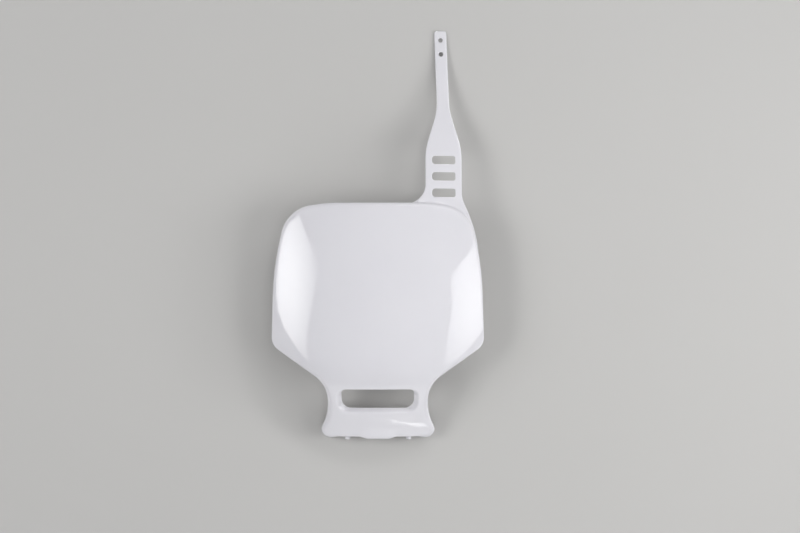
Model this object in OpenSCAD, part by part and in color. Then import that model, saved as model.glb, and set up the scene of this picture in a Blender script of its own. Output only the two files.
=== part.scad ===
// Racing number board: one moulded shell that lies face up, an arch resting on its lip and its strap.
// X runs across the board, Y from the lip towards the tip of the strap, Z up out of the face.
// Plan places are first set out from the middle of the panel's top edge, then moved to the origin.

/* [Panel] */
// Width across the lower corners of the panel, before rounding
panel_w = 231; // [215:1:245]
// Width across the upper corners of the panel, before rounding
upper_w = 196; // [180:1:200]
// Width across the bend halfway down the panel's sides, before rounding
side_w = 226; // [212:1:229]
// Width of the top edge between the points where it starts to fall away
top_w = 110; // [90:1:125]
// How far the top edge falls by the upper corners, before rounding
top_fall = 6; // [3:0.5:9]
// Height from the top edge down to the lower corners, before rounding
panel_h = 154; // [140:1:175]
// Radius of the upper corners
upper_r = 38; // [30:1:42]
// Radius of the lower corners
lower_r = 16; // [10:1:22]
// Radius where the top edge starts to fall away
top_lead_r = 150; // [100:5:180]
// Radius of the bend in the sides
side_r = 315; // [200:5:360]

/* [Neck and lip] */
// Height of the sloping shoulders between the lower corners and the neck
shoulder_h = 43; // [36:1:52]
// Width of the neck at its waist
neck_w = 109; // [102:1:118]
// Height of the neck between the shoulders and the flare of the lip, before rounding
neck_h = 33; // [32:1:42]
// Radius between shoulder and neck
neck_r = 32; // [22:1:33]
// Width of the lip between its corners, before rounding
lip_w = 136; // [128:1:142]
// Height of the flared lip
lip_h = 26.5; // [24:0.5:30]
// Radius where the neck starts to flare
flare_r = 59; // [40:1:60]
// Radius of the lip's corners
lip_corner_r = 9.5; // [7:0.5:11]
// How far the lip's edge is set back between its ends
dent = 1.4; // [0.5:0.1:2]
// How far the thumb bump in the middle stands out of that set back edge
bump_out = 2.4; // [1:0.1:3.5]
// Rise of the thumb bump above the lip's face
bump_rise = 1.3; // [0.5:0.1:2]
// Width of the bump's flat crest
bump_w = 22; // [14:1:30]
// Length of the bump up the lip
bump_len = 12; // [8:0.5:16]

/* [Arch] */
// Height of the face's highest line above the table
crown_z = 66; // [56:1:76]
// Distance from the top edge down to that highest line
crown_y = 94; // [80:1:110]
// Lengthwise radius of the panel's arch
crown_r = 550; // [450:10:700]
// Crosswise radius of the panel
cross_r = 255; // [230:5:320]
// Distance from the top edge down to where the neck starts to sweep back
sweep_y = 164; // [150:1:175]
// Length over which the sweep comes in
sweep_len = 40; // [25:1:55]
// Angle that the sweep adds to the arch at the neck
sweep_angle = 18; // [12:0.5:20]
// Width of the roll-off along the shoulders
rolloff_w = 22; // [12:1:30]
// Radius of that roll-off
rolloff_r = 110; // [90:5:200]

/* [Wall and rim] */
// Wall of the moulding
wall = 2.4; // [1.8:0.1:2.8]
// Radius of the rolled rim along the top edge
rim_r = 4.4; // [3:0.1:5]
// Radius of the rolled rim along the panel's sides
side_rim_r = 3.4; // [2:0.1:4.5]
// Radius of the rolled rim along the neck
neck_rim_r = 4; // [2.5:0.1:5]
// Radius of the bare edge along the shoulders and the lip
edge_r = 1.3; // [0.8:0.1:2]
// Depth of the turned back rim below the face
rim_depth = 9; // [8:0.5:14]
// Depth of the turned back rim along the neck
neck_depth = 13; // [10:0.5:16]
// Reach of the rim at the lip's corners, where it stands on the table
foot_depth = 19; // [17:0.5:24]
// Height of the small bead left inside a bare edge
bead_h = 0.7; // [0.5:0.1:1.5]

/* [Slot] */
// Width of the slot in the neck
slot_w = 78.4; // [66:0.2:80]
// Height of the slot
slot_h = 20.8; // [17:0.2:22]
// Distance from the panel's top edge down to the slot
slot_y = 201.5; // [198:0.5:205]
// Radius of the slot's upper corners
slot_upper_r = 4.4; // [2:0.2:6]
// Radius of the slot's lower corners
slot_lower_r = 10.3; // [6:0.2:10.4]
// Width of the sloping surround at the slot's sides and foot
bevel_w = 5.9; // [4:0.1:6.5]
// Depth of the sloping surround
bevel_depth = 5; // [2:0.2:6]

/* [Strap] */
// Length of the strap beyond the panel's top edge
strap_len = 191; // [165:1:215]
// Distance of the strap's middle from the board's middle
strap_x = 71.5; // [66:0.5:76]
// Thickness of the strap
strap_t = 2.4; // [1.8:0.1:3]
// Width of the strap's base
base_w = 39.6; // [34:0.2:42]
// Width of the strap's tail
tail_w = 13.5; // [11:0.1:16]
// How far the tail leans towards the board's middle at its tip
tail_lean = 3.2; // [0:0.1:6]
// Distance from the top edge to where the base starts to taper
taper_start = 59; // [56:1:66]
// Distance from the top edge to where the taper ends
taper_end = 102; // [92:1:112]
// Radius at both ends of the taper
taper_r = 75; // [40:5:85]
// Radius between the panel's top edge and the strap
fillet_r = 22; // [14:1:26]
// Radius between the strap's outer edge and its flared root
root_r = 30; // [15:1:40]
// How far the corner of the flared root lies inside the bend of the panel's side, before rounding
root_in = 4.5; // [3:0.5:9]
// Distance from the top edge down to that corner
root_corner_y = 32.7; // [26:0.1:38]
// Radius of that corner
root_corner_r = 150; // [80:5:180]
// Distance from the top edge down to where the flared root runs into the rim
root_y = 62; // [56:1:68]
// Depth of the strap's root below the face
strap_step = 5.3; // [5:0.1:6]
// Radius of the tip's corners
tip_r = 2.8; // [1.5:0.1:5]
// Number of slots in the base
strap_slots = 3; // [1:1:3]
// Width of a strap slot
strap_slot_w = 25.3; // [18:0.1:27]
// Height of a strap slot
strap_slot_h = 9; // [6:0.1:10]
// Distance from one slot to the next
strap_slot_pitch = 18; // [15:0.5:19]
// Distance from the top edge to the middle of the first slot
strap_slot_y = 10.9; // [10:0.1:13]
// Corner radius at the slots' inner ends
strap_slot_inner_r = 3.4; // [1:0.1:4]
// Corner radius at the slots' outer ends
strap_slot_outer_r = 2.2; // [1:0.1:4]
// Diameter of the two holes in the tail
hole_d = 4.8; // [3:0.1:6]
// Distance from the tip to the first hole
hole_end = 10.4; // [8:0.1:14]
// Distance between the two holes
hole_pitch = 15.6; // [12:0.1:20]

/* [Pegs] */
// Diameter of the two locating pegs under the lip
peg_d = 6; // [4:0.1:7]
// Distance between the pegs
peg_pitch = 66.8; // [56:0.2:80]
// How far the pegs stand out past the lip
peg_out = 3.7; // [3:0.1:8]
// Length of a peg under the lip
peg_len = 13; // [10:0.5:18]
// Radius round a peg's tip
peg_tip_r = 1.2; // [0.6:0.1:1.6]
// Width of the shoulder where a peg goes under the lip and gets thicker
peg_shoulder = 0.6; // [0.4:0.1:1]
// Gap between a peg and the underside of the lip
peg_gap = 2.4; // [2.2:0.1:3]
// Thickness of the web that carries a peg
web_t = 2.6; // [1.6:0.1:3.5]

/* [Hidden] */
// Overrun of a cut past the faces
over = 5;
// Smallest radius inside a turned edge
inner_r = 0.5;
// Depth of the rim along the lip's front edge
lip_depth = wall + bead_h + edge_r;
// Length over which a change of the lip's edge comes in
ease = 10;
// Place of the lip's foremost edge, and of the pegs' tips
lip_y = -(panel_h + shoulder_h + neck_h + lip_h);
peg_tip_y = lip_y + dent - peg_out;
// The origin is below the middle of the whole length
shift_y = -(strap_len + peg_tip_y) / 2;
// Bend of the sides, as a share of the panel's height
side_bend_share = 0.427;
// Places of the grid's columns, as shares of the half width; they crowd beside the slot
column_shares = [0, 0.2, 0.4, 0.58, 0.72, 0.78, 0.84, 0.93, 1];
// Part of the lip's edge, from the middle, that keeps the bare edge's form
lip_plain_share = 0.8;
// Steps of the rolled rim outside and inside
roll_steps = 3;
inner_steps = 1;
// Steps of the strap's round edges, from face to back: an odd number
edge_steps = 3;
// Steps of the round edge at a peg's tip
tip_steps = 4;
// Places across the strap's width, as shares of it
strap_column_shares = [0.15, 0.5, 0.85];
// Share of the strap's length over which it loses the panel's crosswise tilt
untwist_share = 0.6;
// Depth in the rim's wall at which the strap's root ends, as a share of the wall
root_end_share = 0.25;
// Radius of the strap's edges where it is narrow, as a share of its width
narrow_share = 0.3;
// Turn of one step of an outline's arcs
arc_step = 15;
// Longest step along Y of the grid
row_step = 18;
// Closest that a row beside the slot comes to its neighbour
row_gap = 0.8;
// Rows that the grid has beside the slot and across its surround
slot_rows = [
    -slot_y,
    -slot_y - slot_upper_r,
    -slot_y - slot_h / 2,
    -slot_y - slot_h,
    -slot_y - slot_h - bevel_w / 2,
    -slot_y - slot_h - bevel_w
];

// Plain helpers
function mix(a, b, t) = a + (b - a) * t;
function clamp01(t) = min(1, max(0, t));
function ease01(t) = let (c = clamp01(t)) c * c * (3 - 2 * c);
function unit(v) = v / norm(v);
function plan(p) = [p.x, p.y];

// Points of the arc that rounds corner b between a and c; what follows x, y and r is carried along
function rounded(a, b, c) =
    let (
        u = unit(plan(a) - plan(b)),
        v = unit(plan(c) - plan(b)),
        half = acos(u * v) / 2,
        start = plan(b) + u * b[2] / tan(half),
        centre = plan(b) + unit(u + v) * b[2] / sin(half),
        from = atan2(start.y - centre.y, start.x - centre.x),
        side = u.x * v.y - u.y * v.x < 0 ? 1 : -1,
        sweep = side * (180 - 2 * half),
        steps = max(2, ceil(abs(sweep) / arc_step))
    )
    [for (k = [0 : steps])
        let (t = from + sweep * k / steps)
        [centre.x + b[2] * cos(t), centre.y + b[2] * sin(t), b[3], b[4]]];

// Rounds all the inner corners of an open run of points
function rounded_run(points) =
    [for (k = [1 : len(points) - 2]) each rounded(points[k - 1], points[k], points[k + 1])];

// Rounds all the corners of a closed outline
function rounded_loop(points) =
    let (n = len(points))
    [for (k = [0 : n - 1])
        each [for (p = rounded(points[(k + n - 1) % n], points[k], points[(k + 1) % n])) plan(p)]];

// Right half of the board's outline, from the top edge down to the lip: x, y, corner, roll, depth
side_corners = [
    [0, 0],
    [top_w / 2, 0, top_lead_r, rim_r, rim_depth],
    [upper_w / 2, -top_fall, upper_r, rim_r, rim_depth],
    [side_w / 2, -panel_h * side_bend_share, side_r, side_rim_r, rim_depth],
    [panel_w / 2, -panel_h, lower_r, edge_r, wall + bead_h + edge_r],
    [neck_w / 2, -panel_h - shoulder_h, neck_r, mix(edge_r, neck_rim_r, 0.5), mix(wall, neck_depth, 0.5)],
    [neck_w / 2, -panel_h - shoulder_h - neck_h, flare_r, neck_rim_r, neck_depth],
    [lip_w / 2, lip_y, lip_corner_r, mix(edge_r, neck_rim_r, 0.5), foot_depth],
    [0, lip_y]
];

// Splits a run so that it has the rows beside the slot, and no step along Y is longer than allowed
function slot_run(points) =
    [for (k = [0 : len(points) - 2])
        let (a = points[k], b = points[k + 1])
        each [a, for (y = slot_rows) if (y < a.y - row_gap && y > b.y + row_gap) mix(a, b, (a.y - y) / (a.y - b.y))],
        points[len(points) - 1]];
function split_run(points) =
    [for (k = [0 : len(points) - 2])
        let (
            a = points[k],
            b = points[k + 1],
            n = max(1, ceil(abs(b.y - a.y) / row_step))
        )
        each [for (s = [0 : n - 1]) mix(a, b, s / n)],
        points[len(points) - 1]];

side_run = split_run(slot_run(rounded_run(side_corners)));
rows = len(side_run) - 1;
columns = 2 * (len(column_shares) - 1);

// Share of the half width at a column, from -1 on the left to 1 on the right
function column(i) =
    let (half = columns / 2)
    i < half ? -column_shares[half - i] : column_shares[i - half];

// Unit vector from a point of the side run into the board
function inward(j) =
    j == 0 ? [0, -1]
    : j == rows ? [0, 1]
    : let (
        before = unit(plan(side_run[j]) - plan(side_run[j - 1])),
        after = unit(plan(side_run[j + 1]) - plan(side_run[j])),
        along = unit(before + after)
    ) [along.y, -along.x];

// How far the lip's edge stands out of the straight line between its corners
function wave(x) =
    bump_out * (1 - ease01((abs(x) - bump_w / 2) / ease)) -
    dent * (1 - ease01((abs(x) - side_run[rows].x + ease) / ease));

// Height of the arch along the middle
function arch(y) =
    let (
        run = -sweep_y - y,
        swept = run <= 0 ? 0
            : run < sweep_len ? run * run / (2 * sweep_len)
            : run - sweep_len / 2
    )
    crown_z - pow(y + crown_y, 2) / (2 * crown_r) - tan(sweep_angle) * swept;

// Drop of the face towards its sides
function sag(x) = cross_r - sqrt(cross_r * cross_r - x * x);

// Extra drop along the shoulders
function rolloff(x, y) =
    let (
        corner = side_corners[4],
        along = unit(plan(side_corners[5]) - plan(corner)),
        into = (abs(x) - corner.x) * along.y - (y - corner.y) * along.x,
        reach = max(0, rolloff_w - into)
    )
    reach * reach / (2 * rolloff_r) * ease01((y + panel_h + shoulder_h) / rolloff_w);

// Distance into the sloping surround from its outer line
function surround(x, y) =
    let (
        half_w = slot_w / 2 + bevel_w,
        half_h = (slot_h + bevel_w) / 2,
        away = -slot_y - half_h - y,
        r = (away < 0 ? slot_upper_r : slot_lower_r) + bevel_w / 2,
        qx = abs(x) - half_w + r,
        qy = abs(away) - half_h + r
    )
    r - norm([max(qx, 0), max(qy, 0)]) - min(max(qx, qy), 0);

// Height of the face above the table
function face(x, y) =
    arch(y) - sag(x) - rolloff(x, y) - bevel_depth * ease01(surround(x, y) / bevel_w) +
    bump_rise * (1 - ease01((abs(x) - bump_w / 2) / ease)) * ease01((lip_y + bump_len - y) / bump_len);

// Rim: outline points with their inward direction, roll and depth, once round the board
function lip_mix(u) = ease01((abs(u) - lip_plain_share) / (1 - lip_plain_share));
function rim_from_side(j, sign) =
    let (p = side_run[j], n = inward(j)) [sign * p.x, p.y, sign * n.x, n.y, p[2], p[3]];
rim = concat(
    [for (i = [0 : columns]) [column(i) * side_run[0].x, 0, 0, -1, rim_r, rim_depth]],
    [for (j = [1 : rows]) rim_from_side(j, 1)],
    [for (i = [columns - 1 : -1 : 0])
        let (u = column(i), x = u * side_run[rows].x, end = side_run[rows])
        [x, lip_y - wave(x), 0, 1, mix(edge_r, end[2], lip_mix(u)), mix(lip_depth, end[3], lip_mix(u))]],
    [for (j = [rows - 1 : -1 : 1]) rim_from_side(j, -1)]
);

// Radius inside the rolled rim
function inside_r(p) = max(p[4] - wall, inner_r);

// A rim point set inwards and lowered below the face there
function rim_point(p, inset, drop) =
    let (x = p[0] + p[2] * inset, y = p[1] + p[3] * inset) [x, y, face(x, y) - drop];
function rim_foot(p, inset) = [p[0] + p[2] * inset, p[1] + p[3] * inset, max(0, face(p[0], p[1]) - p[5])];

// Rings from the face over the roll, down the rim, across its foot and up to the underside
outer_rings = [for (k = [1 : roll_steps])
    let (t = 90 * k / roll_steps)
    [for (p = rim) rim_point(p, p[4] * (1 - sin(t)), p[4] * (1 - cos(t)))]];
foot_rings = [[for (p = rim) rim_foot(p, 0)], [for (p = rim) rim_foot(p, wall)]];
inner_rings = [for (k = [0 : inner_steps - 1])
    let (t = 90 - 90 * k / inner_steps)
    [for (p = rim) rim_point(p, wall + inside_r(p) * (1 - sin(t)), wall + inside_r(p) * (1 - cos(t)))]];

// Grid of the face or, lowered by the wall, of the underside
function grid_inset(p, under) = under ? wall + inside_r([0, 0, 0, 0, p[2]]) : p[2];
function grid_point(i, j, under) =
    let (
        p = side_run[j],
        lip = side_run[rows],
        u = column(i),
        bare = j == rows ? [0, 0, mix(edge_r, p[2], lip_mix(u))] : p,
        inset = grid_inset(bare, under),
        n = inward(j),
        x = u * (p.x + n.x * inset),
        out = wave(x) * clamp01(1 - (p.y - lip_y) / bump_len),
        y = p.y + n.y * inset - out
    )
    [x, y, face(x, y) - (under ? wall : 0)];
function grid(under) = [for (j = [0 : rows], i = [0 : columns]) grid_point(i, j, under)];

// Numbers of the grid's border points, in the rim's order
border = concat(
    [for (i = [0 : columns]) i],
    [for (j = [1 : rows]) j * (columns + 1) + columns],
    [for (i = [columns - 1 : -1 : 0]) rows * (columns + 1) + i],
    [for (j = [rows - 1 : -1 : 1]) j * (columns + 1)]
);

// Two triangles between four corners
function quad(a, b, c, d) = [[a, b, c], [a, c, d]];

// The moulded shell of panel, neck and lip
module shell() {
    ring_n = len(rim);
    grid_n = (rows + 1) * (columns + 1);
    middle = concat(outer_rings, foot_rings, inner_rings);
    under_0 = grid_n + len(middle) * ring_n;
    loops = concat(
        [border],
        [for (k = [0 : len(middle) - 1]) [for (n = [0 : ring_n - 1]) grid_n + k * ring_n + n]],
        [[for (b = border) under_0 + b]]
    );
    polyhedron(
        points = concat(grid(false), [for (ring = middle) each ring], grid(true)),
        faces = concat(
            [for (j = [0 : rows - 1], i = [0 : columns - 1])
                let (a = j * (columns + 1) + i)
                each quad(a, a + 1, a + columns + 2, a + columns + 1)],
            [for (k = [0 : len(loops) - 2], n = [0 : ring_n - 1])
                let (m = (n + 1) % ring_n)
                each quad(loops[k][n], loops[k + 1][n], loops[k + 1][m], loops[k][m])],
            [for (j = [0 : rows - 1], i = [0 : columns - 1])
                let (a = under_0 + j * (columns + 1) + i)
                each quad(a + columns + 1, a + columns + 2, a + 1, a)]
        )
    );
}

// Outline of the slot in the neck
module slot_outline() {
    half = slot_w / 2;
    polygon(rounded_loop([
        [-half, -slot_y, slot_upper_r],
        [half, -slot_y, slot_upper_r],
        [half, -slot_y - slot_h, slot_lower_r],
        [-half, -slot_y - slot_h, slot_lower_r]
    ]));
}

// Looks up x at a height y on a run that falls from start to end
function run_table(run) = [for (p = run) [p.y, p.x]];
function run_x(table, y) = lookup(y, table);
side_table = run_table(side_run);
root_end = [run_x(side_table, -root_y) - wall * root_end_share, -root_y];

// Edges of the strap from its tip to its root
tail_x = strap_x - tail_lean;
strap_left = rounded_run([
    [tail_x, strap_len],
    [tail_x - tail_w / 2, strap_len, tip_r],
    [strap_x - tail_w / 2, taper_end, taper_r],
    [strap_x - base_w / 2, taper_start, taper_r],
    [strap_x - base_w / 2, -wall / 2, fillet_r],
    [0, -wall / 2]
]);
strap_right = rounded_run([
    [tail_x, strap_len],
    [tail_x + tail_w / 2, strap_len, tip_r],
    [strap_x + tail_w / 2, taper_end, taper_r],
    [strap_x + base_w / 2, taper_start, taper_r],
    [strap_x + base_w / 2, strap_step, root_r],
    [side_w / 2 - root_in, -root_corner_y, root_corner_r],
    root_end
]);

right_table = run_table(concat(strap_right, [root_end]));

// Height of the strap's face: it leaves the panel behind its rim and comes down flat on the table
function strap_middle(y) =
    let (
        top = face(strap_x, 0) - strap_step,
        slope = -crown_y / crown_r,
        u = clamp01(y / strap_len)
    )
    y <= 0 ? face(strap_x, y) - strap_step
    : strap_t + (top - strap_t) * (2 * pow(u, 3) - 3 * pow(u, 2) + 1) +
        strap_len * slope * (pow(u, 3) - 2 * pow(u, 2) + u);
function strap_face(x, y) =
    let (kept = 1 - ease01(y / (strap_len * untwist_share)))
    strap_middle(y) - kept * (sag(x) - sag(strap_x)) - (y < 0 ? rolloff(x, y) - rolloff(strap_x, y) : 0);

// Rows of the strap from tip to root, from its left edge to its right edge. The root's rows start in
// the middle of the rim's wall, which they follow round the panel's corner.
root_left = concat(
    [plan(strap_left[len(strap_left) - 1])],
    [for (j = [1 : rows]) if (side_run[j].y > -root_y + row_gap) plan(side_run[j]) + inward(j) * wall / 2],
    [[root_end.x - wall / 2, -root_y]]
);
strap_rows = concat(
    [for (p = split_run(strap_left)) if (p.y > row_gap) [plan(p), [run_x(right_table, p.y), p.y]]],
    [for (k = [0 : len(root_left) - 1])
        let (y = k == 0 ? 0 : root_left[k].y)
        [root_left[k], [run_x(right_table, y), y]]]
);

// Section of the strap in one row: face, outer edge, back, inner edge
function strap_point(p, drop) = [p.x, p.y, strap_face(p.x, p.y) - drop];
function strap_section(row) =
    let (
        across = unit(row[1] - row[0]),
        e = strap_t / 2,
        r = min(e, norm(row[1] - row[0]) * narrow_share),
        low = row[0] + across * r,
        high = row[1] - across * r,
        edge = [for (k = [0 : edge_steps]) 90 - 180 * k / edge_steps]
    )
    concat(
        [for (u = strap_column_shares) strap_point(mix(low, high, u), 0)],
        [for (t = edge) strap_point(high, e - e * sin(t)) + concat(across * r * cos(t), 0)],
        [for (k = [len(strap_column_shares) - 1 : -1 : 0])
            strap_point(mix(low, high, strap_column_shares[k]), strap_t)],
        [for (t = edge) strap_point(low, e + e * sin(t)) - concat(across * r * cos(t), 0)]
    );

// Closes an end of the loft, in steps across the section
function cap(first, n, turned) =
    let (q = (edge_steps + 1) / 2)
    [for (m = [0 : n / 2 - 2])
        let (
            a = first + (m - q + n) % n,
            b = first + (m + 1 - q + n) % n,
            c = first + n - q - 2 - m,
            d = first + n - q - 1 - m
        )
        each turned ? quad(a, d, c, b) : quad(a, b, c, d)];

// The strap as one loft of its sections
module strap_body() {
    sections = [for (row = strap_rows) strap_section(row)];
    n = len(sections[0]);
    last = len(sections) - 1;
    polyhedron(
        points = [for (s = sections) each s],
        faces = concat(
            cap(0, n, true),
            [for (j = [0 : last - 1], k = [0 : n - 1])
                let (m = (k + 1) % n)
                each quad(j * n + k, j * n + m, (j + 1) * n + m, (j + 1) * n + k)],
            cap(last * n, n, false)
        )
    );
}

// Outline of one slot in the strap's base
module strap_slot_outline(y) {
    low = strap_x - strap_slot_w / 2;
    high = strap_x + strap_slot_w / 2;
    polygon(rounded_loop([
        [low, y + strap_slot_h / 2, strap_slot_inner_r],
        [high, y + strap_slot_h / 2, strap_slot_outer_r],
        [high, y - strap_slot_h / 2, strap_slot_outer_r],
        [low, y - strap_slot_h / 2, strap_slot_inner_r]
    ]));
}

// The strap with its slots and its two holes
module strap() {
    difference() {
        strap_body();
        for (k = [0 : strap_slots - 1]) {
            translate([0, 0, -over])
                linear_extrude(crown_z + over)
                    strap_slot_outline(strap_slot_y + k * strap_slot_pitch);
        }
        for (k = [0 : 1]) {
            y = strap_len - hole_end - k * hole_pitch;
            x = strap_x - tail_lean * (y - taper_end) / (strap_len - taper_end);
            translate([x, y, -over])
                cylinder(h = strap_face(x, y) + 2 * over, d = hole_d, $fn = 48);
        }
    }
}

// One peg under the lip, with the web that carries it
module peg(x) {
    root_y = peg_tip_y + peg_out + peg_len;
    edge_y = peg_tip_y + peg_out + wall / 2;
    end_y = root_y - peg_gap;
    free_r = peg_d / 2;
    shank_r = free_r + peg_shoulder;
    z = face(x, lip_y) - wall - peg_gap - shank_r;
    translate([x, peg_tip_y, z])
        rotate([-90, 0, 0])
            rotate_extrude($fn = 48)
                polygon(concat(
                    [[0, 0]],
                    [for (k = [0 : tip_steps])
                        let (t = 90 * k / tip_steps)
                        [free_r - peg_tip_r * (1 - sin(t)), peg_tip_r * (1 - cos(t))]],
                    [
                        [free_r, peg_out],
                        [shank_r, peg_out],
                        [shank_r, peg_out + peg_len],
                        [0, peg_out + peg_len]
                    ]
                ));
    translate([x - web_t / 2, 0, 0])
        rotate([90, 0, 90])
            linear_extrude(web_t)
                polygon([
                    [edge_y, z],
                    [end_y, z],
                    [end_y, face(x, end_y) - wall / 2],
                    [edge_y, face(x, edge_y) - wall / 2]
                ]);
}

// The whole moulding
module number_board() {
    color([0.88, 0.88, 0.9])
        translate([0, shift_y, 0]) {
            difference() {
                shell();
                translate([0, 0, -over])
                    linear_extrude(crown_z + 2 * over)
                        slot_outline();
            }
            strap();
            peg(-peg_pitch / 2);
            peg(peg_pitch / 2);
        }
}

number_board();
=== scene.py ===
import math

import bpy
import numpy as np
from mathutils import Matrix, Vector
from mathutils.geometry import delaunay_2d_cdt


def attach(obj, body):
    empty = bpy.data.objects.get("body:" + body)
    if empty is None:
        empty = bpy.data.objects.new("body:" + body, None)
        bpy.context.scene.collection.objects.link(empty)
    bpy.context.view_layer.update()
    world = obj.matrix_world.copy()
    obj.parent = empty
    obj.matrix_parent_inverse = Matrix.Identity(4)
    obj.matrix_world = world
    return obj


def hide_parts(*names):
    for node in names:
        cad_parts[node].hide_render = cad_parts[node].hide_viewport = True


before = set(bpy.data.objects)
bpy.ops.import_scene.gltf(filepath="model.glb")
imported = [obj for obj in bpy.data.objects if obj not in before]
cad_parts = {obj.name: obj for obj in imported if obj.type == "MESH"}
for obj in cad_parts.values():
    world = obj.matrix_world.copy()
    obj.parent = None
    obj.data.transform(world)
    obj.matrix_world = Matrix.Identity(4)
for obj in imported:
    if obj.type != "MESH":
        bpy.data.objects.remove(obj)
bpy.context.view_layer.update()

# Sizes in millimetres, the same as in the part's source, set out from the panel's top edge. Two details are
# the scene's own, as in the photograph: the neck's softer roll (4 in the source) and the crease's fillet.

PANEL_W, UPPER_W, SIDE_W, TOP_W, TOP_FALL, PANEL_H = 231, 196, 226, 110, 6, 154
UPPER_R, LOWER_R, TOP_LEAD_R, SIDE_R = 38, 16, 150, 315
SHOULDER_H, NECK_W, NECK_H, NECK_R = 43, 109, 33, 32
LIP_W, LIP_H, FLARE_R, LIP_CORNER_R = 136, 26.5, 59, 9.5
DENT, BUMP_OUT, BUMP_RISE, BUMP_W, BUMP_LEN = 1.4, 2.4, 1.3, 22, 12
CROWN_Z, CROWN_Y, CROWN_R, CROSS_R = 66, 94, 550, 255
SWEEP_Y, SWEEP_LEN, SWEEP_ANGLE = 164, 40, 18
ROLLOFF_W, ROLLOFF_R = 22, 110
WALL, RIM_R, SIDE_RIM_R, NECK_RIM_R, EDGE_R = 2.4, 4.4, 3.4, 7, 1.3
RIM_DEPTH, NECK_DEPTH, FOOT_DEPTH, BEAD_H = 9, 13, 19, 0.7
SLOT_W, SLOT_H, SLOT_Y, SLOT_UPPER_R, SLOT_LOWER_R = 78.4, 20.8, 201.5, 4.4, 10.3
BEVEL_W, BEVEL_DEPTH = 5.9, 5
STRAP_LEN, STRAP_X, STRAP_T, BASE_W, TAIL_W, TAIL_LEAN = 191, 71.5, 2.4, 39.6, 13.5, 3.2
TAPER_START, TAPER_END, TAPER_R, FILLET_R, ROOT_R, ROOT_Y = 59, 102, 75, 22, 30, 62
ROOT_IN, ROOT_CORNER_Y, ROOT_CORNER_R, ROOT_END_SHARE = 4.5, 32.7, 150, 0.25
STRAP_STEP, TIP_R, UNTWIST_SHARE = 5.3, 2.8, 0.6
STRAP_SLOTS, STRAP_SLOT_W, STRAP_SLOT_H, STRAP_SLOT_PITCH = 3, 25.3, 9, 18
STRAP_SLOT_Y, STRAP_SLOT_INNER_R, STRAP_SLOT_OUTER_R = 10.9, 3.4, 2.2
HOLE_D, HOLE_END, HOLE_PITCH = 4.8, 10.4, 15.6
PEG_D, PEG_PITCH, PEG_OUT, PEG_LEN, PEG_TIP_R, WEB_T = 6, 66.8, 3.7, 13, 1.2, 2.6
PEG_SHOULDER, PEG_GAP = 0.6, 2.4
EASE = 10
INNER_R, FOOT_R, SLOT_EDGE_R, STRAP_EDGE_R, CREASE_R = 0.5, 0.55, 0.9, 0.5, 3
SIDE_BEND_SHARE, LIP_PLAIN_SHARE, HIDDEN_ROOM_SHARE = 0.427, 0.8, 0.35
THIN_EDGE_R, ROOT_ROOM = 0.03, 1
LIP_Y = -(PANEL_H + SHOULDER_H + NECK_H + LIP_H)
LIP_DEPTH = WALL + BEAD_H + EDGE_R
PEG_TIP_Y = LIP_Y + DENT - PEG_OUT
SHIFT_Y = -(STRAP_LEN + PEG_TIP_Y) / 2

# Fineness of the mesh, in millimetres: along outlines and across faces
OUTLINE_STEP, HOLE_STEP, CREASE_STEP = 1.5, 1.4, 0.5
GRID, FINE_GRID, STRAP_GRID, CREASE_GRID = 2.3, 1.1, 1.8, 0.55
TOP_POINTS, LIP_POINTS, SMOOTH_WIDTH = 60, 101, 6

# The finer grids reach this far past the slot's surround and the bump, and inside and outside the crease
SLOT_MARGIN, BUMP_MARGIN, CREASE_IN_MARGIN, CREASE_OUT_MARGIN = 3, 2, 1, 0.4

# Grid points stay away from edges and holes by these shares of a step
EDGE_ROOM_SHARE, HOLE_ROOM_SHARE = 0.8, 0.7

# Fineness of round corners, in degrees, and sides of the strap's holes and of the pegs
ARC_TURN, SLOT_TURN, STRAP_SLOT_TURN = 3, 7, 12
HOLE_SIDES, PEG_SIDES = 40, 48

# Bend, in degrees, from which an edge is drawn sharp
SHARP = 35

MM = 0.001


# Plain helpers

def mix(a, b, t):
    return a + (b - a) * t


def ease01(t):
    c = np.clip(t, 0, 1)
    return c * c * (3 - 2 * c)


def quarter(steps):
    """Angles from nothing to a right angle."""
    return [math.pi / 2 * k / steps for k in range(steps + 1)]


def smooth_loop(values, width):
    """Moving average round a closed loop of values."""
    n = len(values)
    kernel = np.hanning(2 * width + 3)[1:-1]
    kernel /= kernel.sum()
    wrapped = np.concatenate([values[n - width:], values, values[:width]])
    return np.convolve(wrapped, kernel, mode="valid")


def inside(points, loop):
    """Which points lie inside a closed loop."""
    x, y = points[:, 0], points[:, 1]
    result = np.zeros(len(points), bool)
    for (x0, y0), (x1, y1) in zip(loop, np.roll(loop, -1, axis=0)):
        crosses = (y0 > y) != (y1 > y)
        if y1 != y0:
            result ^= crosses & (x < (x1 - x0) * (y - y0) / (y1 - y0) + x0)
    return result


def nearest(points, loop):
    """Distance from each point to the nearest point of a loop, taken a part at a time to save memory."""
    best = np.full(len(points), np.inf)
    part_len = 64
    for start in range(0, len(loop), part_len):
        part = loop[start:start + part_len]
        d = np.hypot(points[:, None, 0] - part[None, :, 0], points[:, None, 1] - part[None, :, 1])
        best = np.minimum(best, d.min(axis=1))
    return best


# Outlines

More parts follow.
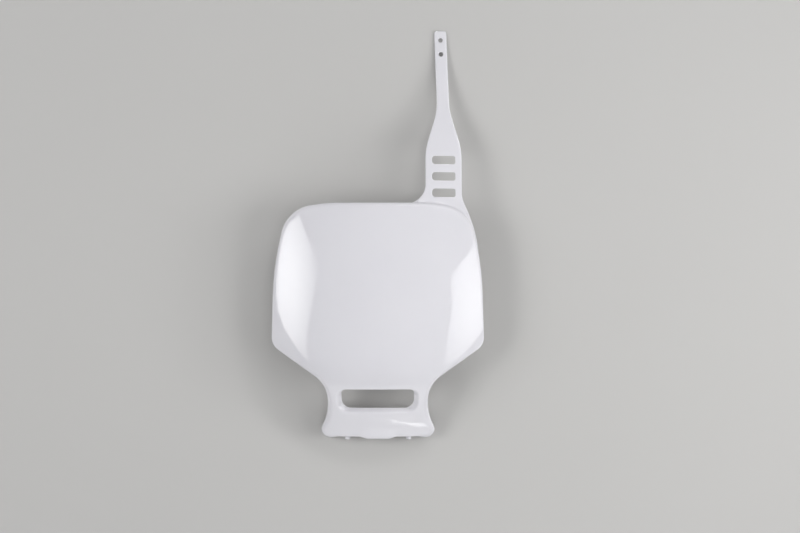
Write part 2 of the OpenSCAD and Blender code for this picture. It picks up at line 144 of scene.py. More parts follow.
def rounded(a, b, c):
    """Points of the arc that rounds corner b, with what follows its x, y and radius carried along."""
    pa, pb, pc = (np.array(p[:2], float) for p in (a, b, c))
    r = b[2]
    u = (pa - pb) / np.linalg.norm(pa - pb)
    v = (pc - pb) / np.linalg.norm(pc - pb)
    half = math.acos(max(-1.0, min(1.0, float(u @ v)))) / 2
    start = pb + u * r / math.tan(half)
    centre = pb + (u + v) / np.linalg.norm(u + v) * r / math.sin(half)
    t0 = math.atan2(start[1] - centre[1], start[0] - centre[0])
    side = 1 if u[0] * v[1] - u[1] * v[0] < 0 else -1
    sweep = side * (math.pi - 2 * half)
    steps = max(2, math.ceil(abs(math.degrees(sweep)) / ARC_TURN))
    turns = [t0 + sweep * k / steps for k in range(steps + 1)]
    return [(centre[0] + r * math.cos(t), centre[1] + r * math.sin(t), *b[3:]) for t in turns]


def rounded_run(points):
    """An open run of corners, all rounded but the first and last, which are left out."""
    run = []
    for k in range(1, len(points) - 1):
        run += rounded(points[k - 1], points[k], points[k + 1])
    return run


def resample(points, step):
    """Even steps along an open run of points, all their values carried along."""
    p = np.array(points, float)
    d = np.concatenate([[0], np.cumsum(np.linalg.norm(np.diff(p[:, :2], axis=0), axis=1))])
    n = max(2, round(d[-1] / step))
    s = np.linspace(0, d[-1], n + 1)
    return np.stack([np.interp(s, d, p[:, k]) for k in range(p.shape[1])], axis=1)


def loop_normals(loop):
    """Unit normals to the left of a closed loop."""
    along = np.roll(loop, -1, axis=0) - np.roll(loop, 1, axis=0)
    along /= np.linalg.norm(along, axis=1)[:, None]
    return np.stack([-along[:, 1], along[:, 0]], axis=1)


def box_outline(cx, top, width, height, radii, turn):
    """Closed outline, anticlockwise, of a box with rounded corners, and its outward normals.
    The radii are those of the lower left, lower right, upper right and upper left corner. A corner has
    a point every so many degrees."""
    x0, x1, y0, y1 = cx - width / 2, cx + width / 2, top - height, top
    corners = [(x0, y0, 180), (x1, y0, 270), (x1, y1, 0), (x0, y1, 90)]
    points, normals = [], []
    for (x, y, start), r in zip(corners, radii):
        centre = (x + r * (1 if x == x0 else -1), y + r * (1 if y == y0 else -1))
        steps = max(4, math.ceil(90 / turn))
        for k in range(steps + 1):
            t = math.radians(start + 90 * k / steps)
            normals.append((math.cos(t), math.sin(t)))
            points.append((centre[0] + r * math.cos(t), centre[1] + r * math.sin(t)))
    return densify(np.array(points), np.array(normals))


def densify(points, normals):
    """Adds points along a closed outline's long straight stretches."""
    out_p, out_n = [], []
    for k in range(len(points)):
        a, b = points[k], points[(k + 1) % len(points)]
        n = max(1, round(float(np.linalg.norm(b - a)) / HOLE_STEP))
        for s in range(n):
            out_p.append(mix(a, b, s / n))
            normal = mix(normals[k], normals[(k + 1) % len(points)], s / n)
            out_n.append(normal / np.linalg.norm(normal))
    return np.array(out_p), np.array(out_n)


def circle_outline(x, y, r):
    t = np.arange(HOLE_SIDES) * 2 * math.pi / HOLE_SIDES
    n = np.stack([np.cos(t), np.sin(t)], axis=1)
    return np.array([x, y]) + r * n, n


# The board's outline: right half from the top edge down to the lip, with roll and depth
MID_NECK = (mix(EDGE_R, NECK_RIM_R, 0.5), mix(WALL, NECK_DEPTH, 0.5))
SIDE_CORNERS = [
    (0, 0),
    (TOP_W / 2, 0, TOP_LEAD_R, RIM_R, RIM_DEPTH),
    (UPPER_W / 2, -TOP_FALL, UPPER_R, RIM_R, RIM_DEPTH),
    (SIDE_W / 2, -PANEL_H * SIDE_BEND_SHARE, SIDE_R, SIDE_RIM_R, RIM_DEPTH),
    (PANEL_W / 2, -PANEL_H, LOWER_R, EDGE_R, WALL + BEAD_H + EDGE_R),
    (NECK_W / 2, -PANEL_H - SHOULDER_H, NECK_R, *MID_NECK),
    (NECK_W / 2, -PANEL_H - SHOULDER_H - NECK_H, FLARE_R, NECK_RIM_R, NECK_DEPTH),
    (LIP_W / 2, LIP_Y, LIP_CORNER_R, mix(EDGE_R, NECK_RIM_R, 0.5), FOOT_DEPTH),
    (0, LIP_Y),
]
SIDE_RUN = rounded_run(SIDE_CORNERS)
TOP_END_X = SIDE_RUN[0][0]
LIP_END_X = SIDE_RUN[-1][0]


def wave(x):
    """How far the lip's edge stands out of the straight line between its corners."""
    out = BUMP_OUT * (1 - ease01((np.abs(x) - BUMP_W / 2) / EASE))
    return out - DENT * (1 - ease01((np.abs(x) - LIP_END_X + EASE) / EASE))


def board_outline():
    """Closed outline of the board, clockwise from the top edge's left end: x, y, roll, depth."""
    top = [(x, 0, RIM_R, RIM_DEPTH) for x in np.linspace(-TOP_END_X, TOP_END_X, TOP_POINTS)]
    right = SIDE_RUN[1:-1]
    end = SIDE_RUN[-1]
    lip = []
    for u in np.linspace(1, -1, LIP_POINTS):
        x = u * end[0]
        t = ease01((abs(u) - LIP_PLAIN_SHARE) / (1 - LIP_PLAIN_SHARE))
        lip.append((x, LIP_Y - wave(x), mix(EDGE_R, end[2], t), mix(LIP_DEPTH, end[3], t)))
    left = [(-p[0], *p[1:]) for p in reversed(right)]
    closed = top + right + lip + left + top[:1]
    loop = resample(closed, OUTLINE_STEP)[:-1]
    for k in (2, 3):
        loop[:, k] = smooth_loop(loop[:, k], SMOOTH_WIDTH)
    return loop


# Heights

def arch(y):
    """Height along the board's middle: an arch, with the neck swept further down."""
    run = -SWEEP_Y - y
    bend = np.where(run < SWEEP_LEN, run * run / (2 * SWEEP_LEN), run - SWEEP_LEN / 2)
    swept = np.where(run <= 0, 0, bend)
    return CROWN_Z - (y + CROWN_Y) ** 2 / (2 * CROWN_R) - math.tan(math.radians(SWEEP_ANGLE)) * swept


def sag(x):
    """Fall of the face from the middle to the sides."""
    return CROSS_R - np.sqrt(CROSS_R * CROSS_R - x * x)


def rolloff(x, y):
    """Extra fall towards the sloping shoulders."""
    cx, cy = SIDE_CORNERS[4][:2]
    nx, ny = SIDE_CORNERS[5][:2]
    ax, ay = (nx - cx) / math.hypot(nx - cx, ny - cy), (ny - cy) / math.hypot(nx - cx, ny - cy)
    reach = np.maximum(0, ROLLOFF_W - ((np.abs(x) - cx) * ay - (y - cy) * ax))
    return reach * reach / (2 * ROLLOFF_R) * ease01((y + PANEL_H + SHOULDER_H) / ROLLOFF_W)


def surround(x, y):
    """Distance into the slot's sloping surround from its outer line."""
    half_w = SLOT_W / 2 + BEVEL_W
    half_h = (SLOT_H + BEVEL_W) / 2
    away = -SLOT_Y - half_h - y
    r = np.where(away < 0, SLOT_UPPER_R, SLOT_LOWER_R) + BEVEL_W / 2
    qx = np.abs(x) - half_w + r
    qy = np.abs(away) - half_h + r
    return r - np.hypot(np.maximum(qx, 0), np.maximum(qy, 0)) - np.minimum(np.maximum(qx, qy), 0)


def face(x, y):
    """Height of the board's face."""
    bump = BUMP_RISE * (1 - ease01((np.abs(x) - BUMP_W / 2) / EASE))
    bump = bump * ease01((LIP_Y + BUMP_LEN - y) / BUMP_LEN)
    return arch(y) - sag(x) - rolloff(x, y) - BEVEL_DEPTH * ease01(surround(x, y) / BEVEL_W) + bump


def under_face(x, y):
    return face(x, y) - WALL


def strap_face(x, y):
    """Height of the strap's face: it leaves the panel along its slope and comes down flat at the tip."""
    slope = -CROWN_Y / CROWN_R
    top = face(STRAP_X, 0.0) - STRAP_STEP
    u = np.clip(y / STRAP_LEN, 0, 1)
    drop = (top - STRAP_T) * (2 * u ** 3 - 3 * u ** 2 + 1) + STRAP_LEN * slope * (u ** 3 - 2 * u ** 2 + u)
    middle = np.where(y <= 0, face(STRAP_X, np.minimum(y, 0)) - STRAP_STEP, STRAP_T + drop)
    kept = 1 - ease01(y / (STRAP_LEN * UNTWIST_SHARE))
    extra = np.where(y < 0, rolloff(x, y) - rolloff(STRAP_X, y), 0)
    return middle - kept * (sag(x) - sag(STRAP_X)) - extra


def strap_under(x, y):
    return strap_face(x, y) - STRAP_T


BOARD_SIDE = resample([p[:2] for p in SIDE_RUN], CREASE_STEP)
BOARD_HALF = np.vstack([[0, BOARD_SIDE[-1, 1]], [0, 0], BOARD_SIDE])

# Where the crease's fillet ends on the strap, outside the panel's outline, and on the panel's rolled edge
CREASE_OUT = math.sqrt((RIM_R + CREASE_R) ** 2 - (STRAP_STEP - RIM_R - CREASE_R) ** 2) - RIM_R
CREASE_IN = CREASE_OUT - (CREASE_OUT + RIM_R) * CREASE_R / (RIM_R + CREASE_R)


def off_board(x, y):
    """Distance outside the panel's outline, on the right half, and less than nothing inside it."""
    flat = np.column_stack([np.ravel(x), np.ravel(y)])
    away = nearest(flat, BOARD_SIDE) * np.where(inside(flat, BOARD_HALF), -1, 1)
    return away.reshape(np.shape(x))


def strap_top(x, y):
    """The strap's face, with the fillet in its crease under the panel's rolled edge."""
    into = np.clip(CREASE_OUT - off_board(x, y), 0, CREASE_OUT - CREASE_IN)
    return strap_face(x, y) + CREASE_R - np.sqrt(CREASE_R ** 2 - into ** 2)


def near_crease(x, y):
    away = off_board(x, y)
    return (away < CREASE_OUT + CREASE_OUT_MARGIN) & (away > -CREASE_IN_MARGIN)


# Meshes

class Skin:
    """Collects points and faces of one closed skin, in the part's own millimetres."""

    def __init__(self):
        self.points = []
        self.faces = []

    def add(self, xyz):
        start = len(self.points)
        self.points += [tuple(float(v) for v in p) for p in xyz]
        return list(range(start, len(self.points)))

    def ring(self, plan, z):
        return self.add(np.column_stack([plan, z]))

    def band(self, upper, lower):
        """Quads between two closed rings of the same length."""
        n = len(upper)
        for k in range(n):
            m = (k + 1) % n
            self.faces.append((upper[k], upper[m], lower[m], lower[k]))

    def bands(self, rings):
        for a, b in zip(rings, rings[1:]):
            self.band(a, b)

    def sheet(self, outer, holes, height, upward, zones):
        """Fills the area inside the outer ring and outside the holes; the rings' points are reused."""
        ids = list(outer) + [i for hole in holes for i in hole]
        plan = np.array([self.points[i][:2] for i in ids])
        edges = []
        first = 0
        for ring in [outer] + list(holes):
            n = len(ring)
            edges += [(first + k, first + (k + 1) % n) for k in range(n)]
            first += n
        inner = inner_points(plan[:len(outer)], [plan[a:b] for a, b in spans(outer, holes)], zones)
        ids += self.ring(inner, height(inner[:, 0], inner[:, 1]))
        both = np.vstack([plan, inner]).astype(np.float32).astype(float)
        coords = [Vector((x, y)) for x, y in both]
        _, _, tris, origin, _, _ = delaunay_2d_cdt(coords, edges, [], 0, 1e-7, True)
        kept = np.array([[origin[v][0] for v in t] for t in tris])
        middle = both[kept].mean(axis=1)
        keep = inside(middle, both[:len(outer)])
        for a, b in spans(outer, holes):
            keep &= ~inside(middle, both[a:b])
        for t in kept[keep]:
            a, b, c = both[t]
            turn = (b[0] - a[0]) * (c[1] - a[1]) - (b[1] - a[1]) * (c[0] - a[0])
            t = t if (turn > 0) == upward else t[::-1]
            self.faces.append(tuple(ids[v] for v in t))


def spans(outer, holes):
    """Where each hole's points start and end, where all rings' points lie in one row."""
    first = len(outer)
    out = []
    for hole in holes:
        out.append((first, first + len(hole)))
        first += len(hole)
    return out


def hex_grid(lo, hi, step):
    """Points at even distances, every second row moved over by half a step."""
    rows = np.arange(lo[1], hi[1], step * math.sqrt(3) / 2)
    points = []
    for k, y in enumerate(rows):
        xs = np.arange(lo[0] + (k % 2) * step / 2, hi[0], step)
        points.append(np.stack([xs, np.full(len(xs), y)], axis=1))
    return np.vstack(points)


def inner_points(outer, holes, zones):
    """Grid points inside a region; each zone is (step, test of which points belong to it)."""
    lo, hi = outer.min(axis=0), outer.max(axis=0)
    found = []
    for step, belongs in zones:
        p = hex_grid(lo, hi, step)
        p = p[belongs(p[:, 0], p[:, 1])]
        p = p[inside(p, outer)]
        p = p[nearest(p, outer) > EDGE_ROOM_SHARE * min(step, OUTLINE_STEP)]
        for hole in holes:
            p = p[~inside(p, hole)]
            p = p[nearest(p, hole) > HOLE_ROOM_SHARE * min(step, OUTLINE_STEP)]
        found.append(p)
    return np.vstack(found)


def edge_rings(skin, plan, outward, top, bottom, r, turn_out):
    """Rings of a wall with round edges, from a face down to its underside.
    turn_out is 1 where solid lies outside the ring, as in a hole, and -1 where it lies inside."""
    rings = []
    for t in quarter(4):
        q = plan + outward * np.reshape(turn_out * r * (1 - math.sin(t)), (-1, 1))
        rings.append(skin.ring(q, top(q[:, 0], q[:, 1]) - r * (1 - math.cos(t))))
    for t in reversed(quarter(4)):
        q = plan + outward * np.reshape(turn_out * r * (1 - math.sin(t)), (-1, 1))
        rings.append(skin.ring(q, bottom(q[:, 0], q[:, 1]) + r * (1 - math.cos(t))))
    return rings


def near_slot(x, y):
    """Where the mesh is finer, in and round the slot's surround and over the bump."""
    by_slot = surround(x, y) > -SLOT_MARGIN
    by_bump = (np.abs(x) < BUMP_W / 2 + EASE + BUMP_MARGIN) & (y < LIP_Y + BUMP_LEN + BUMP_MARGIN)
    return by_slot | by_bump


def anywhere(x, y):
    return np.full(np.shape(x), True)


def rim_rings(skin):
    """Rings of the board's rim: over its rolled edge, down its side, round its foot and up inside."""
    loop = board_outline()
    plan, roll, depth = loop[:, :2], loop[:, 2], loop[:, 3]
    inward = -loop_normals(plan)
    rings = []

    def at(inset):
        return plan + inward * np.reshape(inset, (-1, 1))

    for t in quarter(8):
        q = at(roll * (1 - math.sin(t)))
        rings.append(skin.ring(q, face(q[:, 0], q[:, 1]) - roll * (1 - math.cos(t))))
    foot = np.maximum(0, face(plan[:, 0], plan[:, 1]) - depth)
    high = face(plan[:, 0], plan[:, 1]) - roll
    rings.append(skin.ring(at(0), mix(high, foot + FOOT_R, 0.5)))
    for t in quarter(3):
        rings.append(skin.ring(at(FOOT_R * (1 - math.cos(t))), foot + FOOT_R * (1 - math.sin(t))))
    for t in reversed(quarter(3)):
        rings.append(skin.ring(at(WALL - FOOT_R * (1 - math.cos(t))), foot + FOOT_R * (1 - math.sin(t))))
    bend = np.maximum(roll - WALL, INNER_R)
    for t in reversed(quarter(5)):
        q = at(WALL + bend * (1 - math.sin(t)))
        rings.append(skin.ring(q, under_face(q[:, 0], q[:, 1]) - bend * (1 - math.cos(t))))
    return rings


def shell_skin():
    """Panel, neck and lip, with their rim and the slot."""
    skin = Skin()
    rim = rim_rings(skin)
    skin.bands(rim)
    radii = (SLOT_LOWER_R, SLOT_LOWER_R, SLOT_UPPER_R, SLOT_UPPER_R)
    slot, outward = box_outline(0, -SLOT_Y, SLOT_W, SLOT_H, radii, SLOT_TURN)
    wall = edge_rings(skin, slot, outward, face, under_face, SLOT_EDGE_R, 1)
    skin.bands(wall)
    zones = [(GRID, lambda x, y: ~near_slot(x, y)), (FINE_GRID, near_slot)]
    skin.sheet(rim[0], [wall[0]], face, True, zones)
    skin.sheet(rim[-1], [wall[-1]], under_face, False, zones)
    return skin


def strap_outline():
    """Closed outline of the strap, with its root inside the board's rim, and the radius of its edge."""
    tail_x = STRAP_X - TAIL_LEAN
    left = rounded_run([
        (tail_x, STRAP_LEN),
        (tail_x - TAIL_W / 2, STRAP_LEN, TIP_R),
        (STRAP_X - TAIL_W / 2, TAPER_END, TAPER_R),
        (STRAP_X - BASE_W / 2, TAPER_START, TAPER_R),
        (STRAP_X - BASE_W / 2, -WALL / 2, FILLET_R),
        (0, -WALL / 2),
    ])
    left = [p for p in left if p[1] > -WALL / 4]
    run = resample([left[-1][:1] + (0,)] + [p[:2] for p in SIDE_RUN], OUTLINE_STEP)
    along = np.gradient(run, axis=0)
    along /= np.linalg.norm(along, axis=1)[:, None]
    middle = run + np.stack([along[:, 1], -along[:, 0]], axis=1) * WALL / 2
    hidden = [(x, y) for x, y in middle if y > -ROOT_Y + ROOT_ROOM]
    end_x = np.interp(ROOT_Y, -run[:, 1], run[:, 0]) - WALL * ROOT_END_SHARE
    right = rounded_run([
        (tail_x, STRAP_LEN),
        (tail_x + TAIL_W / 2, STRAP_LEN, TIP_R),
        (STRAP_X + TAIL_W / 2, TAPER_END, TAPER_R),
        (STRAP_X + BASE_W / 2, TAPER_START, TAPER_R),
        (STRAP_X + BASE_W / 2, STRAP_STEP, ROOT_R),
        (SIDE_W / 2 - ROOT_IN, -ROOT_CORNER_Y, ROOT_CORNER_R),
        (end_x, -ROOT_Y),
    ])
    hidden.append((end_x - WALL / 2, -ROOT_Y))
    open_run = [(*p, 1) for p in left] + [(*p, 0) for p in hidden] + [(end_x, -ROOT_Y, 0)]
    loop = resample(open_run + [(*p, 1) for p in right[::-1]] + [(*left[0], 1)], OUTLINE_STEP)[:-1]
    room = nearest(loop[:, :2], np.array(hidden))
    round_r = np.minimum(STRAP_T / 2 - 0.05, HIDDEN_ROOM_SHARE * room)
    return loop[:, :2], np.where(loop[:, 2] > 0.5, round_r, 0) + THIN_EDGE_R


def strap_holes():
    """Outlines of the strap's slots and holes, with their outward normals."""
    holes = []
    radii = (STRAP_SLOT_INNER_R, STRAP_SLOT_OUTER_R, STRAP_SLOT_OUTER_R, STRAP_SLOT_INNER_R)
    for k in range(STRAP_SLOTS):
        top = STRAP_SLOT_Y + k * STRAP_SLOT_PITCH + STRAP_SLOT_H / 2
        holes.append(box_outline(STRAP_X, top, STRAP_SLOT_W, STRAP_SLOT_H, radii, STRAP_SLOT_TURN))
    for k in range(2):
        y = STRAP_LEN - HOLE_END - k * HOLE_PITCH
        x = STRAP_X - TAIL_LEAN * (y - TAPER_END) / (STRAP_LEN - TAPER_END)
        holes.append(circle_outline(x, y, HOLE_D / 2))
    return holes


def strap_skin():
    """The strap, with its slots, its holes and the fillet in its crease."""
    skin = Skin()
    plan, edge = strap_outline()
    outward = loop_normals(plan)
    area = np.sum(plan[:, 0] * np.roll(plan[:, 1], -1) - plan[:, 1] * np.roll(plan[:, 0], -1))
    outward = -outward if area > 0 else outward
    rim = edge_rings(skin, plan, outward, strap_top, strap_under, edge, -1)
    skin.bands(rim if area < 0 else [ring[::-1] for ring in rim])
    walls = [edge_rings(skin, p, n, strap_top, strap_under, STRAP_EDGE_R, 1) for p, n in strap_holes()]
    for wall in walls:
        skin.bands(wall)
    zones = [(STRAP_GRID, lambda x, y: ~near_crease(x, y)), (CREASE_GRID, near_crease)]
    skin.sheet(rim[0], [wall[0] for wall in walls], strap_top, True, zones)
    skin.sheet(rim[-1], [wall[-1] for wall in walls], strap_under, False, [(STRAP_GRID, anywhere)])
    return skin


# A peg's profile comes this near to its axis. Its edges are points (out, along): from the free part's corner
# at the shoulder, and from the thicker shank's corners at the shoulder and at the hidden end.
PEG_AXIS_R = 0.02
PEG_FOOT_EDGE = [(0, -0.1), (0.03, 0)]
PEG_SHOULDER_EDGE = [(-0.2, 0.02), (-0.06, 0.08), (0, 0.25)]
PEG_END_EDGE = [(0, -0.4), (-0.12, -0.12), (-0.4, 0)]


def peg_skin(x):
    """One peg with a round tip and a thicker shank, without its web."""
    skin = Skin()
    free_r = PEG_D / 2
    shank_r = free_r + PEG_SHOULDER
    z = peg_height(x)
    end = PEG_OUT + PEG_LEN
    profile = [(PEG_AXIS_R, 0)]
    for t in quarter(8):
        profile.append((free_r - PEG_TIP_R * (1 - math.sin(t)), PEG_TIP_R * (1 - math.cos(t))))
    profile += [(free_r + out, PEG_OUT + along) for out, along in PEG_FOOT_EDGE]
    profile += [(shank_r + out, PEG_OUT + along) for out, along in PEG_SHOULDER_EDGE]
    profile += [(shank_r + out, end + along) for out, along in PEG_END_EDGE]
    profile.append((PEG_AXIS_R, end))
    turns = [2 * math.pi * k / PEG_SIDES for k in range(PEG_SIDES)]
    rings = []
    for radius, along in profile:
        xyz = [(x + radius * math.cos(t), PEG_TIP_Y + along, z + radius * math.sin(t)) for t in turns]
        rings.append(skin.add(xyz))
    skin.bands([ring[::-1] for ring in rings])
    skin.faces.append(tuple(rings[0]))
    skin.faces.append(tuple(reversed(rings[-1])))
    return skin


def peg_height(x):
    """Height of a peg's axis above the table."""
    return float(face(np.array(x), np.array(LIP_Y))) - WALL - PEG_GAP - PEG_D / 2 - PEG_SHOULDER


def web_skin(x):
    """The web that carries a peg, up into the lip's wall."""
    skin = Skin()
    z = peg_height(x)
    edge_y = PEG_TIP_Y + PEG_OUT + WALL / 2
    end_y = PEG_TIP_Y + PEG_OUT + PEG_LEN - PEG_GAP
    side = [(edge_y, z), (end_y, z)]
    for y in np.linspace(end_y, edge_y, 8):
        side.append((y, float(face(np.array(x), np.array(y))) - WALL / 2))
    left = skin.add([(x - WEB_T / 2, y, h) for y, h in side])
    right = skin.add([(x + WEB_T / 2, y, h) for y, h in side])
    skin.band(left, right)
    skin.faces.append(tuple(reversed(left)))
    skin.faces.append(tuple(right))
    return skin


def mesh_object(name, points, faces):
    """A smooth mesh, from points in metres."""
    mesh = bpy.data.meshes.new(name)
    mesh.from_pydata(points, [], faces)
    mesh.validate()
    mesh.polygons.foreach_set("use_smooth", [True] * len(mesh.polygons))
    mesh.update()
    obj = bpy.data.objects.new(name, mesh)
    bpy.context.scene.collection.objects.link(obj)
    return obj


def skin_object(name, skin):
    """A skin as a mesh in the shared frame."""
    points = [(x * MM, (y + SHIFT_Y) * MM, z * MM) for x, y, z in skin.points]
    return mesh_object(name, points, skin.faces)


def fuse(board, piece):
    """Adds a piece to the board as one skin with nothing left inside."""
    union = board.modifiers.new("union", "BOOLEAN")
    union.operation = "UNION"
    union.solver = "MANIFOLD"
    union.object = piece
    bpy.context.view_layer.update()
    evaluated = board.evaluated_get(bpy.context.evaluated_depsgraph_get())
    mesh = bpy.data.meshes.new_from_object(evaluated)
    mesh.materials.clear()
    board.modifiers.clear()
    board.data = mesh
    bpy.data.objects.remove(piece)


# Materials: the two ends of each one's faint mottle, and the plastic's two ends of roughness

PLASTIC = (0.742, 0.735, 0.770), (0.758, 0.751, 0.784)
FLOOR = (0.543, 0.537, 0.525), (0.525, 0.519, 0.507)
GLOSS = 0.02, 0.045
NOISE_MIN, NOISE_MAX = 0.3, 0.7


def new_material(name, colors, roughness):
    material = bpy.data.materials.new(name)
    material.use_nodes = True
    shader = material.node_tree.nodes["Principled BSDF"]
    middle = [mix(low, high, 0.5) for low, high in zip(*colors)]
    shader.inputs["Base Color"].default_value = (*middle, 1)
    shader.inputs["Roughness"].default_value = roughness
    return material, material.node_tree, shader


def node(tree, kind, **values):
    """A node with its settings, or the values of its inputs, by name."""
    made = tree.nodes.new(kind)
    for key, value in values.items():
        if hasattr(made, key):
            setattr(made, key, value)
        else:
            made.inputs[key.replace("_", " ")].default_value = value
    return made


def noise(tree, place, **values):
    made = node(tree, "ShaderNodeTexNoise", **values)
    tree.links.new(place.outputs["Object"], made.inputs["Vector"])
    return made.outputs["Fac"]


def spread(tree, value, low, high):
    """A noise spread out between two values."""
    made = node(
        tree, "ShaderNodeMapRange", From_Min=NOISE_MIN, From_Max=NOISE_MAX, To_Min=low, To_Max=high,
    )
    tree.links.new(value, made.inputs["Value"])
    return made.outputs["Result"]


def mottle(tree, shader, factor, colors):
    blend = node(tree, "ShaderNodeMix", data_type="RGBA")
    blend.inputs[6].default_value = (*colors[0], 1)
    blend.inputs[7].default_value = (*colors[1], 1)
    tree.links.new(factor, blend.inputs["Factor"])
    tree.links.new(blend.outputs[2], shader.inputs["Base Color"])


def relief(tree, height, **values):
    made = node(tree, "ShaderNodeBump", **values)
    tree.links.new(height, made.inputs["Height"])
    return made


def plastic():
    """Glossy white moulded plastic: a faint mottle, a slightly uneven gloss and a faint swim."""
    material, tree, shader = new_material("white_plastic_gloss", PLASTIC, GLOSS[1])
    shader.inputs["IOR"].default_value = 1.49
    shader.inputs["Subsurface Weight"].default_value = 0.6
    shader.inputs["Subsurface Radius"].default_value = (1.0, 1.0, 1.0)
    shader.inputs["Subsurface Scale"].default_value = 0.003
    place = node(tree, "ShaderNodeTexCoord")
    cloud = noise(tree, place, Scale=14.0, Detail=3.0, Roughness=0.5)
    mottle(tree, shader, spread(tree, cloud, 0.0, 1.0), PLASTIC)
    gloss = noise(tree, place, Scale=60.0, Detail=4.0, Roughness=0.6)
    tree.links.new(spread(tree, gloss, *GLOSS), shader.inputs["Roughness"])
    swim = noise(tree, place, Scale=38.0, Detail=2.0, Roughness=0.4)
    grain = noise(tree, place, Scale=900.0, Detail=2.0, Roughness=0.5)
    swim_relief = relief(tree, swim, Strength=0.12, Distance=0.0008)
    grain_relief = relief(tree, grain, Strength=0.012, Distance=0.0001)
    tree.links.new(swim_relief.outputs["Normal"], grain_relief.inputs["Normal"])
    tree.links.new(grain_relief.outputs["Normal"], shader.inputs["Normal"])
    return material


def floor_material():
    """Pale grey paper, with a faint mottle."""
    material, tree, shader = new_material("pale_floor", FLOOR, 0.9)
    shader.inputs["Specular IOR Level"].default_value = 0.1
    cloud = noise(tree, node(tree, "ShaderNodeTexCoord"), Scale=2.5, Detail=2.0)
    mottle(tree, shader, cloud, FLOOR)
    return material


# Floor, light and camera. The room is in metres, the camera's lens and sensor are in millimetres, and the
# camera looks straight down, as it does in the photograph.

FLOOR_SIZE, FLOOR_Z = 6.0, -0.0001
CAMERA, LENS, SENSOR_W = (0.0241, -0.0349, 2.0), 81.5, 36
AIM_AT = (0, 0, 0.04)
ROOM_COLOR, ROOM_STRENGTH = (0.93, 0.95, 1.0), 0.15

# Each softbox: how far out its upright front stands, the front's outline and its lamp's place, both as
# (y, z), the strengths of its light near the lamp and far off, and between which distances it fades
LEFT_BOX = dict(
    out=-1.35,
    front=[
        (0.19, 2.18), (-1.17, 1.23), (-0.40, 1.09), (-0.15, 0.90), (0.15, 0.54), (0.51, 0.54),
        (0.48, 1.16), (0.55, 1.41),
    ],
    lamp=(0.04, 1.17), strengths=(8.2, 2.1), fade=(0.14, 0.83),
)
RIGHT_BOX = dict(
    out=1.0,
    front=[
        (0.02, 1.28), (0.09, 1.04), (0.17, 0.75), (0.26, 0.40), (-0.10, 0.40), (-0.50, 0.60),
        (-0.82, 0.73), (-1.04, 0.87), (-0.60, 1.27), (-0.43, 1.33), (-0.18, 1.20),
    ],
    lamp=(-0.12, 0.80), strengths=(5.0, 2.3), fade=(0.1, 0.6),
)


def polar(azimuth, elevation, distance):
    """A place in the room: azimuth 0 is +X and 90 is +Y, the elevation is above the floor."""
    a, e = math.radians(azimuth), math.radians(elevation)
    flat = distance * math.cos(e)
    return (flat * math.cos(a), flat * math.sin(a), distance * math.sin(e))


# Each lamp: its name, place, width and height, its watts and its turn in degrees
LAMPS = [
    ("right_low", (1.7, -0.05, 0.66), (0.7, 0.3), 6.2, 0),
    ("top_light", polar(76, 33, 1.9), (0.95, 0.2), 6.8, 0),
    ("back_lamp", polar(47, 35, 1.9), (0.6, 0.25), 3.6, 0),
    ("front_fill", (0.0, -1.6, 0.6), (1.8, 0.9), 6.4, 0),
    ("front_strip", (0.35, -1.67, 0.65), (0.42, 0.02), 0.13, -14),
    ("ceiling", (0.35, -0.2, 2.3), (1.5, 0.8), 5.6, 0),
]
HIDDEN_FROM_GLOSS = "ceiling"


def add_floor():
    half = FLOOR_SIZE / 2
    corners = [(x * half, y * half, FLOOR_Z) for x, y in ((-1, -1), (1, -1), (1, 1), (-1, 1))]
    floor = mesh_object("floor", corners, [(0, 1, 2, 3)])
    floor.data.materials.append(floor_material())


def add_lamp(name, place, size, watts, turn):
    light = bpy.data.lights.new(name, "AREA")
    light.shape = "RECTANGLE"
    light.size, light.size_y = size
    light.energy = watts
    lamp = bpy.data.objects.new(name, light)
    lamp.location = place
    lamp.visible_camera = False
    lamp.visible_glossy = name != HIDDEN_FROM_GLOSS
    bpy.context.scene.collection.objects.link(lamp)
    way = Vector(AIM_AT) - lamp.location
    lamp.rotation_euler = way.to_track_quat("-Z", "Y").to_euler()
    lamp.rotation_euler.rotate_axis("Z", math.radians(turn))


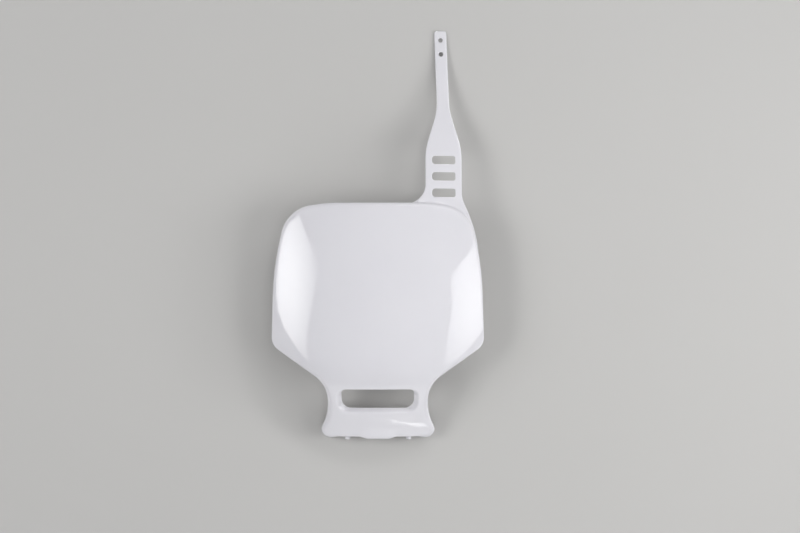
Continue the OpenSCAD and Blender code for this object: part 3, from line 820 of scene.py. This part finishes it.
def glow_material(name, lamp, strengths, fade):
    """Light of a softbox's front, brightest round its lamp."""
    material = bpy.data.materials.new(name)
    material.use_nodes = True
    tree = material.node_tree
    tree.nodes.clear()
    out = node(tree, "ShaderNodeOutputMaterial")
    glow = node(tree, "ShaderNodeEmission")
    glow.inputs["Color"].default_value = (1.0, 1.0, 1.0, 1)
    place = node(tree, "ShaderNodeTexCoord")
    away = node(tree, "ShaderNodeVectorMath", operation="DISTANCE")
    away.inputs[1].default_value = lamp
    falloff = node(tree, "ShaderNodeMapRange", From_Min=fade[0], From_Max=fade[1])
    falloff.inputs["To Min"].default_value, falloff.inputs["To Max"].default_value = strengths
    tree.links.new(place.outputs["Object"], away.inputs[0])
    tree.links.new(away.outputs["Value"], falloff.inputs["Value"])
    tree.links.new(falloff.outputs["Result"], glow.inputs["Strength"])
    tree.links.new(glow.outputs["Emission"], out.inputs["Surface"])
    return material


def add_softbox(name, out, front, lamp, strengths, fade):
    box = mesh_object(name, [(out, y, z) for y, z in front], [tuple(range(len(front)))])
    box.data.materials.append(glow_material(name + "_glow", (out, *lamp), strengths, fade))
    box.visible_camera = False
    box.visible_shadow = False


def add_room_light():
    world = bpy.data.worlds.new("room")
    world.use_nodes = True
    sky = world.node_tree.nodes["Background"]
    sky.inputs["Color"].default_value = (*ROOM_COLOR, 1)
    sky.inputs["Strength"].default_value = ROOM_STRENGTH
    bpy.context.scene.world = world


def add_lights():
    add_softbox("left_softbox", **LEFT_BOX)
    add_softbox("right_softbox", **RIGHT_BOX)
    for lamp in LAMPS:
        add_lamp(*lamp)
    add_room_light()


def add_camera():
    data = bpy.data.cameras.new("camera")
    data.sensor_width = SENSOR_W
    data.lens = LENS
    camera = bpy.data.objects.new("camera", data)
    camera.location = CAMERA
    bpy.context.scene.collection.objects.link(camera)
    bpy.context.scene.camera = camera


def add_board():
    board = skin_object("moulding", shell_skin())
    added = [strap_skin()]
    for x in (-PEG_PITCH / 2, PEG_PITCH / 2):
        added += [peg_skin(x), web_skin(x)]
    for k, skin in enumerate(added):
        fuse(board, skin_object(f"part_{k}", skin))
    board.data.set_sharp_from_angle(angle=math.radians(SHARP))
    board.data.materials.append(plastic())
    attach(board, "root")
    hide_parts("number_board")


add_camera()
add_floor()
add_lights()
add_board()
bpy.context.scene.view_settings.view_transform = "Standard"
